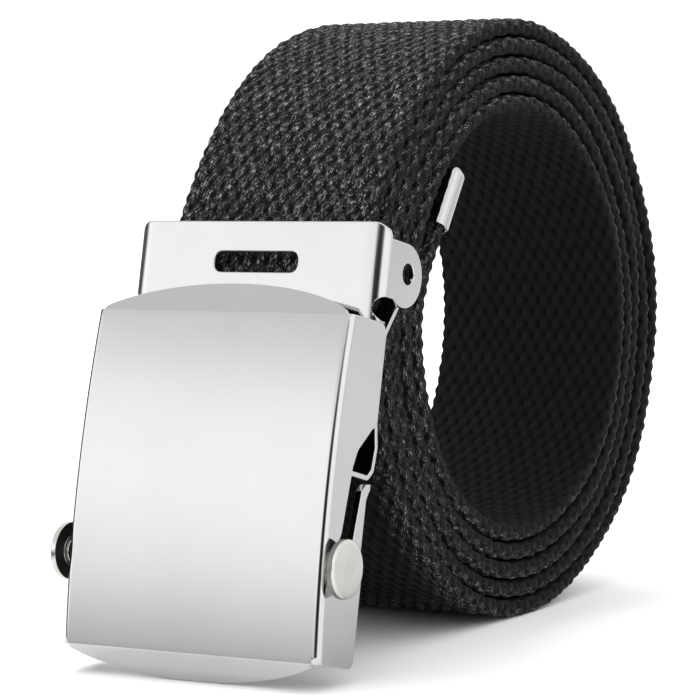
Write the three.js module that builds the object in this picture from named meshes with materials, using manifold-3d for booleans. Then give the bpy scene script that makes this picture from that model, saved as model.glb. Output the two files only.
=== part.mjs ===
// A canvas web belt, rolled up, with a roller box buckle clamped to its outer end.
// Millimetres, +Z up. The floor is z = 0, the belt's width lies along X and the buckle is at -Y.
import * as THREE from "three";
import { mergeVertices } from "three/addons/utils/BufferGeometryUtils.js";
import Module from "manifold-3d";

const wasm = await Module();
wasm.setup();

const degree = Math.PI / 180;

// How far a cutting solid runs past the faces it cuts
const cutPast = 1;

// Driving dimensions of the web
const webWidth = 35;
const webThickness = 2.75;
const layerGap = 0.3;
const rollRadius = 32.95;
const fullTurns = 5;

// Driving dimensions of the buckle
const shellHeight = 50.9;
const shellSheet = 1.3;
const clampSheet = 1;
const backSheet = 0.75;
const lean = 13.6 * degree;
const faceBow = 1.49;
const knobRadius = 4.35;
const barRadius = 1.5;

// Named clearances
const fitGap = 0.3;
const wallGap = 0.35;
const earGap = 2.6;
const knobGap = 1.25;
const passageRoom = 0.6;

// The roll: angles are measured about +X from +Y towards +Z
const pitch = webThickness + layerGap;
const turn = 2 * Math.PI;
const stepsPerTurn = 48;
const radiusZeroAngle = 148 * degree;
const rollInSteps = 4;
const rollOutSteps = 8;
const spiralStart = 180 * degree;
const spiralEnd = fullTurns * turn + 142.5 * degree;
const bottomAngle = (fullTurns - 1) * turn + 270 * degree;

// The metal tip on the inner end of the web
const tipLength = 10.8;
const tipThickness = 3.6;
const tipSheet = 0.45;
const tipMouth = { angle: 147 * degree, radius: rollRadius - 2.15 };
const tipSlant = 35 * degree;
const pressedLength = 4;

// Widths of the buckle, each round the one before
const clampWidth = webWidth + 2 * (earGap + clampSheet);
const shellWidth = clampWidth + 2 * (wallGap + shellSheet);
const earsWidth = shellWidth - 2 * wallGap;

// Depths behind the chord of the face, in the buckle's own leaning frame
const passageDepth = 2 * webThickness + passageRoom;
const clampFront = shellSheet + passageDepth;
const webFront = clampFront + clampSheet + fitGap;
const webMiddle = webFront + webThickness / 2;
const backFront = webFront + webThickness + fitGap;
const wallPastClamp = 2.2;
const shellDepth = clampFront + wallPastClamp;

// How much further back the roll's centre lies than its layers alone would put it
const rollSlack = 2.35;

// Shell: bends and the two arched lips
const shellBend = 1.2;
const lipAngle = 32 * degree;
const topLip = 5.5;
const bottomLip = 4.6;
const lipInset = 0.6;
const lipRoot = 0.8;
const lipLeast = 0.05;
const lipFullness = 0.75;
const wallCorner = 1.3;
const cornerShare = 0.3;

// Clamp: front plate, ears over the shell's walls and a narrower lower flange between them,
// with their heights counted from the shell's top
const shellTop = shellHeight / 2;
const clampRise = 14.95;
const clampDrop = 11.45;
const clampTop = shellTop + clampRise;
const clampBottom = shellTop - clampDrop;
const clampBend = 2.3;
const ear = { radius: 4.85, back: backFront + 2.5, up: shellTop + 7.95, bottom: shellTop + 3.95 };
const earTop = ear.up + ear.radius;
const earHole = { radius: 1.6, back: ear.back + 0.75, up: ear.up + 0.35 };
const earsFrom = shellTop + fitGap;
const flangeTop = shellTop - 0.25;
const flangeDepth = backFront - fitGap;
const notch = {
  front: clampFront + 0.5,
  up: shellTop + 2.15,
  lowerRun: 1.6,
  upperRun: 1.8,
  lowerRise: 1,
  slant: 0.4,
};
const plateSlot = { width: 15, height: 3.1, up: shellTop + 8.7, corner: 1.45 };

// Roller: the pocket where it pinches the web, and the way up its ramp
const pocket = { back: shellSheet + 0.6, up: -11.4 };
const ramp = { length: 4.58, slope: 34 * degree };
const slotHalf = barRadius + 0.35;
const knobSeat = 0.1;
const barReach = shellWidth / 2 + knobGap + knobSeat;
const knobThickness = 1.25;
const knobDome = { rise: 0.3, middle: 0.6, drop: 0.35 };
const knobEdge = { inner: 0.15, outer: 0.35, step: 0.1 };
const collarRadius = 2.3;
const boreRadius = barRadius + fitGap;

// Web inside the buckle
const webJoin = 24;
const webEnd = 4.4;

// Slot in each side wall, from its mouth in the rear edge down its front edge and up its rear edge
const rampTop = {
  back: pocket.back + ramp.length * Math.sin(ramp.slope),
  up: pocket.up + ramp.length * Math.cos(ramp.slope),
};
const slotMouth = { top: 10.7, bottom: 2.1 };
const slotFront = [
  { back: shellDepth - 0.9, up: 9.7 },
  { back: shellDepth - 4.4, up: 6.1 },
  { back: rampTop.back - 0.1, up: 4.7 },
  { back: rampTop.back - 0.75, up: 2.2 },
];
const slotRear = [
  { back: rampTop.back + 1.95, up: -5.6 },
  { back: rampTop.back + 2.9, up: 0.4 },
  { back: shellDepth - 1.2, up: 1.5 },
];
const waist = [
  { cut: 0, up: 0.9 },
  { cut: 0.8, up: -0.7 },
  { cut: 0.9, up: -8.8 },
  { cut: 0, up: -11.4 },
];

// Back plate, as steps behind its straight run
const backRoute = [
  { step: 2.75, up: ear.up - ear.radius },
  { step: 0.1, up: shellTop - 1.25 },
  { step: 0, up: 11 },
  { step: 0.75, up: 7.4 },
  { step: 0.3, up: webEnd - 0.5 },
  { step: -0.9, up: webEnd - 1.7 },
  { step: clampFront - 0.9 - backFront - backSheet / 2, up: webEnd - 1.5 },
];
const backCut = { bottom: 25.4, height: 8, depth: 12 };

const steel = new THREE.MeshStandardMaterial({ color: 0xdcdcda, roughness: 0.12, metalness: 1 });
const satin = new THREE.MeshStandardMaterial({ color: 0xc6c4bf, roughness: 0.3, metalness: 1 });
const canvas = new THREE.MeshStandardMaterial({ color: 0x222225, roughness: 0.92, metalness: 0 });

// A closed three.js geometry as a solid that can be joined and cut
function toSolid(geometry) {
  const bare = geometry.clone();
  bare.deleteAttribute("normal");
  bare.deleteAttribute("uv");
  const merged = mergeVertices(bare, 1e-4);
  const vertProperties = Float32Array.from(merged.attributes.position.array);
  const triVerts = Uint32Array.from(merged.index.array);
  return new wasm.Manifold(new wasm.Mesh({ numProp: 3, vertProperties, triVerts }));
}

function toGeometry(solid) {
  const { vertProperties, triVerts } = solid.getMesh();
  const geometry = new THREE.BufferGeometry();
  geometry.setAttribute("position", new THREE.BufferAttribute(vertProperties, 3));
  geometry.setIndex(new THREE.BufferAttribute(triVerts, 1));
  geometry.computeVertexNormals();
  return geometry;
}

// A prism across X from an outline drawn in (y, z), centred on x = 0
function acrossX(shape, width, curveSegments = 12) {
  const geometry = new THREE.ExtrudeGeometry(shape, { depth: width, bevelEnabled: false, curveSegments });
  const axes = new THREE.Matrix4().makeBasis(
    new THREE.Vector3(0, 1, 0),
    new THREE.Vector3(0, 0, 1),
    new THREE.Vector3(1, 0, 0),
  );
  return geometry.translate(0, 0, -width / 2).applyMatrix4(axes);
}

// A prism up Z from an outline drawn in (x, y)
function alongZ(shape, from, to, curveSegments = 8) {
  const extrusion = { depth: to - from, bevelEnabled: false, curveSegments };
  const geometry = new THREE.ExtrudeGeometry(shape, extrusion);
  return geometry.translate(0, 0, from);
}

// A prism through Y from an outline drawn in (x, z)
function throughY(shape, from, to, curveSegments = 8) {
  const extrusion = { depth: to - from, bevelEnabled: false, curveSegments };
  const geometry = new THREE.ExtrudeGeometry(shape, extrusion);
  return geometry.rotateX(Math.PI / 2).translate(0, to, 0);
}

function outline(points) {
  return new THREE.Shape(points.map(([a, b]) => new THREE.Vector2(a, b)));
}

// A closed solid through sections that all have the same number of points, in a right-handed order
function loft(rings) {
  const ahead = rings[0].map((p) => new THREE.Vector2(p.flatX, p.flatY));
  const sections = THREE.ShapeUtils.isClockWise(ahead) ? rings.map((ring) => [...ring].reverse()) : rings;
  const count = sections[0].length;
  const points = sections.flat();
  const faces = [];
  for (let s = 0; s + 1 < sections.length; s++) {
    for (let i = 0; i < count; i++) {
      const a = s * count + i;
      const b = s * count + ((i + 1) % count);
      faces.push(a, b, b + count, a, b + count, a + count);
    }
  }
  const flat = sections[0].map((p) => new THREE.Vector2(p.flatX, p.flatY));
  const last = (sections.length - 1) * count;
  for (const [a, b, c] of THREE.ShapeUtils.triangulateShape(flat, [])) {
    faces.push(c, b, a, last + a, last + b, last + c);
  }
  const geometry = new THREE.BufferGeometry();
  const position = new THREE.Float32BufferAttribute(points.flatMap((p) => [p.x, p.y, p.z]), 3);
  geometry.setAttribute("position", position);
  geometry.setIndex(faces);
  return geometry;
}

// The middle line of the rolled web in (y, z) about the roll's centre
class Spiral extends THREE.Curve {
  getPoint(t, target = new THREE.Vector2()) {
    const angle = spiralStart + t * (spiralEnd - spiralStart);
    const radius = rollRadius + (pitch * (angle - radiusZeroAngle)) / turn;
    return target.set(radius * Math.cos(angle), radius * Math.sin(angle));
  }
}

// Height of the face's chord centre: the lower lip's edge stands on the floor
const lipEdge = {
  back: bottomLip * Math.sin(lipAngle),
  down: shellHeight / 2 + bottomLip * Math.cos(lipAngle),
};
const faceHeight = lipEdge.back * Math.sin(lean) + lipEdge.down * Math.cos(lean);

// The roll stands on the floor, and its centre lies behind the face
const bottomRadius = rollRadius + (pitch * (bottomAngle - radiusZeroAngle)) / turn + webThickness / 2;
const rollBack = webMiddle + rollRadius + pitch * fullTurns + rollSlack;
const rollHeight = bottomRadius;
const rollUp = rollHeight - faceHeight;
const rollFromFace = (rollBack + rollUp * Math.sin(lean)) / Math.cos(lean);

// A point of the leaning buckle, (back, up), in (y, z) about the roll's centre
function fromBuckle(back, up) {
  return new THREE.Vector2(
    back * Math.cos(lean) + up * Math.sin(lean) - rollFromFace,
    up * Math.cos(lean) - back * Math.sin(lean) - rollUp,
  );
}

// A curve that leaves one point and reaches another along given directions
function bend(from, fromWay, to, toWay) {
  const reach = from.distanceTo(to) / 3;
  return new THREE.CubicBezierCurve(
    from,
    from.clone().addScaledVector(fromWay, reach),
    to.clone().addScaledVector(toWay, -reach),
    to,
  );
}

const tipWay = new THREE.Vector2(-Math.sin(tipSlant), -Math.cos(tipSlant));
const tipMouthPoint = new THREE.Vector2(
  tipMouth.radius * Math.cos(tipMouth.angle),
  tipMouth.radius * Math.sin(tipMouth.angle),
);
const tipEndPoint = tipMouthPoint.clone().addScaledVector(tipWay, -tipLength);
const buckleWay = new THREE.Vector2(-Math.sin(lean), -Math.cos(lean));

// Stations down the middle of the web, each with its own thickness
function webStations() {
  const spiral = new Spiral();
  const spiralSteps = Math.round(((spiralEnd - spiralStart) / turn) * stepsPerTurn);
  const first = tipEndPoint.clone().addScaledVector(tipWay, tipSheet + fitGap);
  const pressed = tipThickness - 2 * (tipSheet + fitGap);
  const swollen = tipMouthPoint.clone().addScaledVector(tipWay, pressedLength);
  const rollIn = bend(swollen, tipWay, spiral.getPoint(0), new THREE.Vector2(0, -1));
  const leaving = new THREE.Vector2(-Math.sin(spiralEnd), Math.cos(spiralEnd));
  const rollOut = bend(spiral.getPoint(1), leaving, fromBuckle(webMiddle, webJoin), buckleWay);
  const stations = [
    { point: first, thickness: pressed },
    { point: tipMouthPoint, thickness: pressed },
  ];
  const add = (points) => points.forEach((point) => stations.push({ point, thickness: webThickness }));
  add(rollIn.getPoints(rollInSteps).slice(0, -1));
  add(spiral.getPoints(spiralSteps).slice(0, -1));
  add(rollOut.getPoints(rollOutSteps));
  add([fromBuckle(webMiddle, webEnd)]);
  return stations;
}

function webGeometry() {
  const stations = webStations();
  const side = (sign) => stations.map(({ point, thickness }, i) => {
    const before = stations[Math.max(i - 1, 0)].point;
    const after = stations[Math.min(i + 1, stations.length - 1)].point;
    const way = after.clone().sub(before).normalize();
    return [point.x + (sign * way.y * thickness) / 2, point.y - (sign * way.x * thickness) / 2];
  });
  return acrossX(outline([...side(1), ...side(-1).reverse()]), webWidth);
}

// A metal sleeve, closed at its end and sides, pressed round the end of the web
function tipGeometry() {
  const width = webWidth + 2 * (tipSheet + fitGap);
  const box = (length, thickness, across, start) => {
    const geometry = new THREE.BoxGeometry(across, thickness, length);
    return toSolid(geometry.translate(0, 0, -start - length / 2));
  };
  const outside = box(tipLength, tipThickness, width, 0);
  const inside = box(tipLength, tipThickness - 2 * tipSheet, width - 2 * tipSheet, tipSheet);
  return toGeometry(outside.subtract(inside));
}

// How far the bowed face stands back from its chord, at a height up the buckle
function faceAt(up) {
  return -faceBow * (1 - (2 * up / shellHeight) ** 2);
}

// The shell's U section at one height: face, two bends and two side walls
function shellSection(up) {
  const front = faceAt(up);
  const half = shellWidth / 2;
  const corner = [];
  const steps = 4;
  for (let i = 0; i <= steps; i++) {
    const angle = (i / steps) * 90 * degree;
    corner.push([
      half - shellBend + shellBend * Math.cos(angle),
      front + shellBend - shellBend * Math.sin(angle),
    ]);
  }
  const outer = [[half, shellDepth], ...corner];
  const inner = [[half - shellSheet, front + shellSheet], [half - shellSheet, shellDepth]];
  const mirror = (points) => points.map(([x, y]) => [-x, y]).reverse();
  const ring = [...outer, ...mirror(outer), ...mirror(inner), ...inner];
  return ring.map(([x, y]) => ({ x, y, z: up, flatX: x, flatY: y }));
}

// One arched lip, bent back from the top or the bottom of the face
function lipGeometry(rise, side) {
  const half = shellWidth / 2 - lipInset;
  const sections = [];
  const steps = 22;
  for (let i = 0; i <= steps; i++) {
    const x = half * Math.cos((1 - i / steps) * Math.PI);
    const length = Math.max(rise * Math.max(1 - (x / half) ** 2, 0) ** lipFullness, lipLeast);
    const tip = [length * Math.sin(lipAngle), shellHeight / 2 + length * Math.cos(lipAngle)];
    const section = [
      [lipLeast, shellHeight / 2 - lipRoot],
      [0, shellHeight / 2],
      tip,
      [tip[0] + shellSheet * Math.cos(lipAngle), tip[1] - shellSheet * Math.sin(lipAngle)],
      [shellSheet - lipLeast, shellHeight / 2 - lipRoot],
    ];
    sections.push(section.map(([y, z]) => ({ x, y, z: side * z, flatX: y, flatY: z })));
  }
  if (side < 0) sections.reverse();
  return loft(sections);
}

// The cut that both side walls share: a mouth at the rear edge, a slot down, and the ramp
function slotShape() {
  const beside = (point, sign) => [
    point.back - sign * slotHalf * Math.cos(ramp.slope),
    point.up + sign * slotHalf * Math.sin(ramp.slope),
  ];
  const rear = shellDepth + cutPast;
  const shape = new THREE.Shape();
  shape.moveTo(rear, slotMouth.top);
  slotFront.forEach(({ back, up }) => shape.lineTo(back, up));
  shape.lineTo(...beside(rampTop, 1));
  shape.lineTo(...beside(pocket, 1));
  shape.absarc(pocket.back, pocket.up, slotHalf, Math.PI - ramp.slope, turn - ramp.slope, false);
  shape.lineTo(...beside(rampTop, -1));
  slotRear.forEach(({ back, up }) => shape.lineTo(back, up));
  shape.lineTo(rear, slotMouth.bottom);
  return shape;
}

// A rear corner of the side walls, cut round
function cornerShape(side) {
  const rear = shellDepth + cutPast;
  const edge = shellHeight / 2;
  return outline([
    [rear, side * (edge + cutPast)],
    [shellDepth - wallCorner - cutPast, side * (edge + cutPast)],
    [shellDepth - wallCorner, side * edge],
    [shellDepth - cornerShare * wallCorner, side * (edge - cornerShare * wallCorner)],
    [shellDepth, side * (edge - wallCorner)],
    [rear, side * (edge - wallCorner - cutPast)],
  ]);
}

// The shallow waist in the rear edge of each side wall
function waistShape() {
  const ends = waist.map(({ cut, up }) => [shellDepth - cut, up]);
  const rear = shellDepth + cutPast;
  return outline([[rear, waist[0].up], ...ends, [rear, waist[waist.length - 1].up]]);
}

function shellGeometry() {
  const rows = 14;
  const sections = [];
  for (let i = 0; i <= rows; i++) sections.push(shellSection(shellHeight * (i / rows - 0.5)));
  let shell = toSolid(loft(sections));
  shell = shell.add(toSolid(lipGeometry(topLip, 1)));
  shell = shell.add(toSolid(lipGeometry(bottomLip, -1)));
  for (const cut of [slotShape(), waistShape(), cornerShape(1), cornerShape(-1)]) {
    shell = shell.subtract(toSolid(acrossX(cut, shellWidth + cutPast)));
  }
  return toGeometry(shell);
}

// Side view of the clamp: plate, round ear, notch and lower flange
function clampSide() {
  const shape = new THREE.Shape();
  const lugStart = Math.asin((ear.bottom - ear.up) / ear.radius);
  shape.moveTo(clampFront - cutPast, clampBottom - cutPast);
  shape.lineTo(flangeDepth, clampBottom - cutPast);
  shape.lineTo(flangeDepth, flangeTop);
  shape.lineTo(notch.front + notch.lowerRun, flangeTop + notch.slant);
  shape.quadraticCurveTo(notch.front, flangeTop + notch.lowerRise, notch.front, notch.up);
  shape.quadraticCurveTo(notch.front, ear.bottom, notch.front + notch.upperRun, ear.bottom);
  shape.absarc(ear.back, ear.up, ear.radius, Math.PI - lugStart, 2.5 * Math.PI, false);
  shape.lineTo(clampFront + clampBend, earTop);
  shape.lineTo(clampFront + clampBend, clampTop + cutPast);
  shape.lineTo(clampFront - cutPast, clampTop + cutPast);
  return shape;
}

// The clamp's U section: front plate, two round bends and two sides
function clampChannel(half, rear) {
  const inside = clampBend - clampSheet;
  const bendBack = clampFront + clampBend;
  const shape = new THREE.Shape();
  shape.moveTo(half, rear);
  shape.lineTo(half - clampSheet, rear);
  shape.absarc(half - clampBend, bendBack, inside, 0, -0.5 * Math.PI, true);
  shape.absarc(-half + clampBend, bendBack, inside, -0.5 * Math.PI, -Math.PI, true);
  shape.lineTo(-half + clampSheet, rear);
  shape.lineTo(-half, rear);
  shape.absarc(-half + clampBend, bendBack, clampBend, Math.PI, 1.5 * Math.PI, false);
  shape.absarc(half - clampBend, bendBack, clampBend, 1.5 * Math.PI, turn, false);
  return shape;
}

// Front view of the clamp, with its two round upper corners
function clampFrontView() {
  const half = earsWidth / 2;
  const corner = clampTop - earTop;
  const shape = new THREE.Shape();
  shape.moveTo(-half - cutPast, clampBottom - cutPast);
  shape.lineTo(half + cutPast, clampBottom - cutPast);
  shape.lineTo(half + cutPast, earTop);
  shape.lineTo(half, earTop);
  shape.absarc(half - corner, earTop, corner, 0, 0.5 * Math.PI, false);
  shape.absarc(-half + corner, earTop, corner, 0.5 * Math.PI, Math.PI, false);
  shape.lineTo(-half - cutPast, earTop);
  return shape;
}

// The narrow slot in the clamp's plate, with round ends
function plateSlotShape() {
  const { width, height, up, corner } = plateSlot;
  const across = width / 2 - corner;
  const above = height / 2 - corner;
  const shape = new THREE.Shape();
  shape.absarc(across, up - above, corner, 1.5 * Math.PI, turn, false);
  shape.absarc(across, up + above, corner, 0, 0.5 * Math.PI, false);
  shape.absarc(-across, up + above, corner, 0.5 * Math.PI, Math.PI, false);
  shape.absarc(-across, up - above, corner, Math.PI, 1.5 * Math.PI, false);
  return shape;
}

function clampGeometry() {
  const rear = ear.back + ear.radius + cutPast;
  const across = earsWidth + 2 * cutPast;
  const hole = new THREE.Shape();
  hole.absarc(earHole.back, earHole.up, earHole.radius, 0, turn, false);
  const slotRearEnd = clampFront + clampSheet + cutPast;
  let clamp = toSolid(alongZ(clampChannel(earsWidth / 2, rear), earsFrom, clampTop, 6));
  clamp = clamp.add(toSolid(alongZ(clampChannel(clampWidth / 2, rear), clampBottom, earsFrom + fitGap, 6)));
  clamp = clamp.intersect(toSolid(acrossX(clampSide(), across)));
  clamp = clamp.intersect(toSolid(throughY(clampFrontView(), clampFront - cutPast, rear + cutPast, 5)));
  clamp = clamp.subtract(toSolid(acrossX(hole, across, 10)));
  clamp = clamp.subtract(toSolid(throughY(plateSlotShape(), clampFront - cutPast, slotRearEnd, 4)));
  return toGeometry(clamp);
}

// The plate behind the web: a slanted top, a straight run, a bulge and a lip under the web's end
function backPlateGeometry() {
  const middle = backFront + backSheet / 2;
  const route = backRoute.map(({ step, up }) => ({ back: middle + step, up }));
  const side = (sign) => route.map(({ back, up }, i) => {
    const before = route[Math.max(i - 1, 0)];
    const after = route[Math.min(i + 1, route.length - 1)];
    const way = new THREE.Vector2(after.back - before.back, after.up - before.up).normalize();
    return [back + (sign * way.y * backSheet) / 2, up - (sign * way.x * backSheet) / 2];
  });
  let plate = toSolid(acrossX(outline([...side(1), ...side(-1).reverse()]), clampWidth));
  const clearWay = new THREE.BoxGeometry(webWidth + 2 * wallGap, backCut.depth, backCut.height);
  clearWay.translate(0, middle, backCut.bottom + backCut.height / 2);
  plate = plate.subtract(toSolid(clearWay));
  return toGeometry(plate);
}

// The round bar from knob to knob, along X
function barGeometry() {
  const bar = new THREE.CylinderGeometry(barRadius, barRadius, 2 * barReach, 14);
  return bar.rotateZ(-Math.PI / 2);
}

// A flanged knob with a collar towards the wall and a blind bore for the bar's end
function knobGeometry(side) {
  const collarStart = shellWidth / 2 + fitGap;
  const flangeStart = shellWidth / 2 + knobGap;
  const outerFace = flangeStart + knobThickness;
  const boreEnd = barReach + fitGap;
  const profile = [
    [0, boreEnd],
    [boreRadius, boreEnd],
    [boreRadius, collarStart],
    [collarRadius, collarStart],
    [collarRadius, flangeStart],
    [knobRadius - knobEdge.inner, flangeStart],
    [knobRadius, flangeStart + knobEdge.inner],
    [knobRadius, outerFace - knobDome.rise - knobEdge.step],
    [knobRadius - knobEdge.outer, outerFace - knobDome.rise],
    [knobRadius * knobDome.middle, outerFace - knobDome.rise * knobDome.drop],
    [0, outerFace],
  ];
  const points = profile.map(([radius, along]) => new THREE.Vector2(radius, along));
  const knob = new THREE.LatheGeometry(points, 24);
  return knob.rotateZ((-side * Math.PI) / 2);
}

function addMesh(group, name, geometry, material) {
  const mesh = new THREE.Mesh(geometry, material.clone());
  mesh.name = name;
  group.add(mesh);
  return mesh;
}

// The roll, about its own centre
const roll = new THREE.Group();
addMesh(roll, "web", webGeometry(), canvas);
const tip = addMesh(roll, "web_tip", tipGeometry(), steel);
tip.position.set(0, tipEndPoint.x, tipEndPoint.y);
tip.rotation.x = -tipSlant;
roll.position.set(0, rollFromFace, rollHeight);

// The buckle, about the centre of its face's chord, leaning back
const buckle = new THREE.Group();
addMesh(buckle, "shell", shellGeometry(), steel);
addMesh(buckle, "end_clamp", clampGeometry(), steel);
addMesh(buckle, "back_plate", backPlateGeometry(), steel);
const roller = new THREE.Group();
addMesh(roller, "roller_bar", barGeometry(), satin);
addMesh(roller, "knob_right", knobGeometry(1), satin);
addMesh(roller, "knob_left", knobGeometry(-1), satin);
roller.position.set(0, pocket.back, pocket.up);
buckle.add(roller);
buckle.position.set(0, 0, faceHeight);
buckle.rotation.x = -lean;

// The origin is on the floor under the middle of the whole belt
const belt = new THREE.Group();
belt.name = "canvas_web_belt";
belt.add(roll, buckle);
belt.updateMatrixWorld(true);
const extent = new THREE.Box3().setFromObject(belt, true);
belt.position.y = -(extent.min.y + extent.max.y) / 2;

export default belt;
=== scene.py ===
import math

import bmesh
import bpy
import numpy as np
from bpy.props import FloatProperty, FloatVectorProperty, IntProperty, PointerProperty
from mathutils import Matrix, Vector


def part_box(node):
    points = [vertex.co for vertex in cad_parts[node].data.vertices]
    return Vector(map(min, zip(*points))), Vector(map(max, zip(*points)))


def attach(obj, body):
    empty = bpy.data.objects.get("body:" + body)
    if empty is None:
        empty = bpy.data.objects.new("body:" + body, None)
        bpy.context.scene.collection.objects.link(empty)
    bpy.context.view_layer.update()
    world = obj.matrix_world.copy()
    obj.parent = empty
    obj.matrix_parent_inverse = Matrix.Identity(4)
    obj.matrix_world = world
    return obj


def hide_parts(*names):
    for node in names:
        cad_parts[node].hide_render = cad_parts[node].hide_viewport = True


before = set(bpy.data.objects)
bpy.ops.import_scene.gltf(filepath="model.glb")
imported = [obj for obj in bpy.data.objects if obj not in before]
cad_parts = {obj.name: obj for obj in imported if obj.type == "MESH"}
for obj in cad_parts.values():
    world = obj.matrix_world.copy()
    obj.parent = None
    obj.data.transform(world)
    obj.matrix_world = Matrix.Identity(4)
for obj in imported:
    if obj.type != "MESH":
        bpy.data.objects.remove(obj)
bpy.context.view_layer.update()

bl_info = {
    "name": "Canvas Web Belt",
    "version": (1, 0, 0),
    "blender": (4, 5, 0),
    "location": "View3D > Sidebar > Belt",
    "description": "Builds the looks of a rolled canvas web belt with a roller box buckle",
    "category": "Add Mesh",
}

MM = 0.001


def extent(node, axis):
    """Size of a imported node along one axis, in metres."""
    low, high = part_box(node)
    return high[axis] - low[axis]


# Places that every piece shares, in the row frame
LEAN = math.radians(13.6)
FACE_MIDDLE = Vector((0, -54.588, 29.101)) * MM
ROLL_MIDDLE = np.array([12.252, 47.559]) * MM
BUCKLE_FRAME = Matrix.Translation(FACE_MIDDLE) @ Matrix.Rotation(-LEAN, 4, "X")

# Depths behind the chord of the buckle's face
CLAMP_FRONT = 7.4 * MM
WEB_MIDDLE = 10.075 * MM
BACK_FRONT = 11.75 * MM
POCKET = Vector((0, 1.9, -11.4)) * MM


class WebSettings(bpy.types.PropertyGroup):
    width: FloatProperty(
        name="Width", description="Width of the web", default=extent("web", 0), unit="LENGTH", precision=4)
    thickness: FloatProperty(
        name="Thickness", description="Thickness of the web over its yarns", default=2.75 * MM, unit="LENGTH", precision=5)
    weft_pitch: FloatProperty(
        name="Weft Pitch", description="Distance from one weft yarn to the next along the web", default=2.1 * MM,
        unit="LENGTH", precision=5)
    relief: FloatProperty(
        name="Relief", description="How far the warp yarns rise and fall", default=0.66 * MM, unit="LENGTH", precision=5)
    edge: FloatProperty(
        name="Edge Rounding", description="How far in from each edge the web starts to round off", default=1.15 * MM,
        unit="LENGTH", precision=5)
    wander: FloatProperty(
        name="Wander", description="How far the turns stray sideways in the roll", default=0.22 * MM, unit="LENGTH",
        precision=5)


class BuckleSettings(bpy.types.PropertyGroup):
    shell_width: FloatProperty(
        name="Shell Width", description="Width over the side walls", default=extent("shell", 0), unit="LENGTH",
        precision=4)
    shell_height: FloatProperty(
        name="Shell Height", description="Height of the face between its two creases", default=50.9 * MM,
        unit="LENGTH", precision=4)
    shell_sheet: FloatProperty(
        name="Shell Sheet", description="Thickness of the shell's sheet metal", default=1.15 * MM, unit="LENGTH",
        precision=5)
    face_bow: FloatProperty(
        name="Face Bow", description="Rise of the bowed face over its chord", default=1.49 * MM, unit="LENGTH",
        precision=5)
    clamp_width: FloatProperty(
        name="Clamp Width", description="Width over the ears of the end clamp", default=extent("end_clamp", 0),
        unit="LENGTH", precision=4)
    clamp_sheet: FloatProperty(
        name="Clamp Sheet", description="Thickness of the clamp's sheet metal", default=1.0 * MM, unit="LENGTH",
        precision=5)
    back_sheet: FloatProperty(
        name="Back Sheet", description="Thickness of the back plate", default=0.75 * MM, unit="LENGTH", precision=5)
    edge_softness: FloatProperty(
        name="Edge Softness", description="Width of the polished round on each cut edge", default=0.14 * MM,
        unit="LENGTH", precision=5)


class RollerSettings(bpy.types.PropertyGroup):
    bar_radius: FloatProperty(
        name="Bar Radius", description="Radius of the roller's bar", default=1.5 * MM, unit="LENGTH", precision=5)
    knob_radius: FloatProperty(
        name="Knob Radius", description="Radius of the flange of each knob", default=4.35 * MM, unit="LENGTH",
        precision=5)
    segments: IntProperty(
        name="Segments", description="Steps round the bar and the knobs", default=72, min=24, max=128)


class FinishSettings(bpy.types.PropertyGroup):
    yarn: FloatVectorProperty(
        name="Yarn", description="Colour of the canvas yarns", subtype="COLOR", default=(0.0097, 0.0097, 0.0108),
        min=0, max=1)
    # Painted shade between the yarns: a darker colour blended in where the weave sinks
    hollow_shade: FloatVectorProperty(
        name="Hollow", description="Colour between the yarns", subtype="COLOR", default=(0.0028, 0.0028, 0.0031),
        min=0, max=1)
    fleck: FloatVectorProperty(
        name="Fleck", description="Colour of the loose light fibres", subtype="COLOR", default=(0.54, 0.538, 0.545),
        min=0, max=1)
    nickel: FloatVectorProperty(
        name="Nickel", description="Colour of the polished nickel plate", subtype="COLOR",
        default=(0.66, 0.658, 0.652), min=0, max=1)
    satin: FloatVectorProperty(
        name="Satin Nickel", description="Colour of the satin nickel plate", subtype="COLOR",
        default=(0.78, 0.767, 0.743), min=0, max=1)
    polish: FloatProperty(
        name="Polish", description="Roughness of the polished nickel plate", default=0.07, min=0, max=1)


class StudioSettings(bpy.types.PropertyGroup):
    floor: FloatVectorProperty(
        name="Floor", description="Colour of the floor", subtype="COLOR", default=(0.96, 0.96, 0.96), min=0, max=1)
    surround: FloatProperty(
        name="Surround", description="Strength of the white surround", default=1.0, min=0, max=10)
    overhead: FloatProperty(
        name="Overhead", description="Power of the overhead soft light", default=9.0, min=0, max=500, unit="POWER")
    lens: FloatProperty(
        name="Lens", description="Focal length of the camera, in millimetres", default=165.04, min=20, max=400)


# ---------------------------------------------------------------- shared helpers

def object_from(bm, name):
    """A new object in the scene that holds this bmesh."""
    mesh = bpy.data.meshes.new(name)
    bm.to_mesh(mesh)
    bm.free()
    piece = bpy.data.objects.new(name, mesh)
    bpy.context.scene.collection.objects.link(piece)
    return piece


def settle(piece):
    """Applies every modifier of a piece to its mesh."""
    bpy.context.view_layer.update()
    evaluated = piece.evaluated_get(bpy.context.evaluated_depsgraph_get())
    mesh = bpy.data.meshes.new_from_object(evaluated)
    piece.modifiers.clear()
    old = piece.data
    piece.data = mesh
    bpy.data.meshes.remove(old)
    piece.data.name = piece.name


def prism(outline, axis, low, high):
    """A closed solid: an outline extruded along x, back or up. The outline's pairs are the other two, in that order."""
    bm = bmesh.new()
    place = {"x": lambda a, b, c: (c, a, b), "back": lambda a, b, c: (a, c, b), "up": lambda a, b, c: (a, b, c)}[axis]
    face = bm.faces.new([bm.verts.new(place(a, b, low)) for a, b in outline])
    made = bmesh.ops.extrude_face_region(bm, geom=[face])["geom"]
    raised = [v for v in made if isinstance(v, bmesh.types.BMVert)]
    bmesh.ops.translate(bm, verts=raised, vec=Vector(place(0, 0, high - low)))
    bmesh.ops.recalc_face_normals(bm, faces=bm.faces)
    return bm


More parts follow.
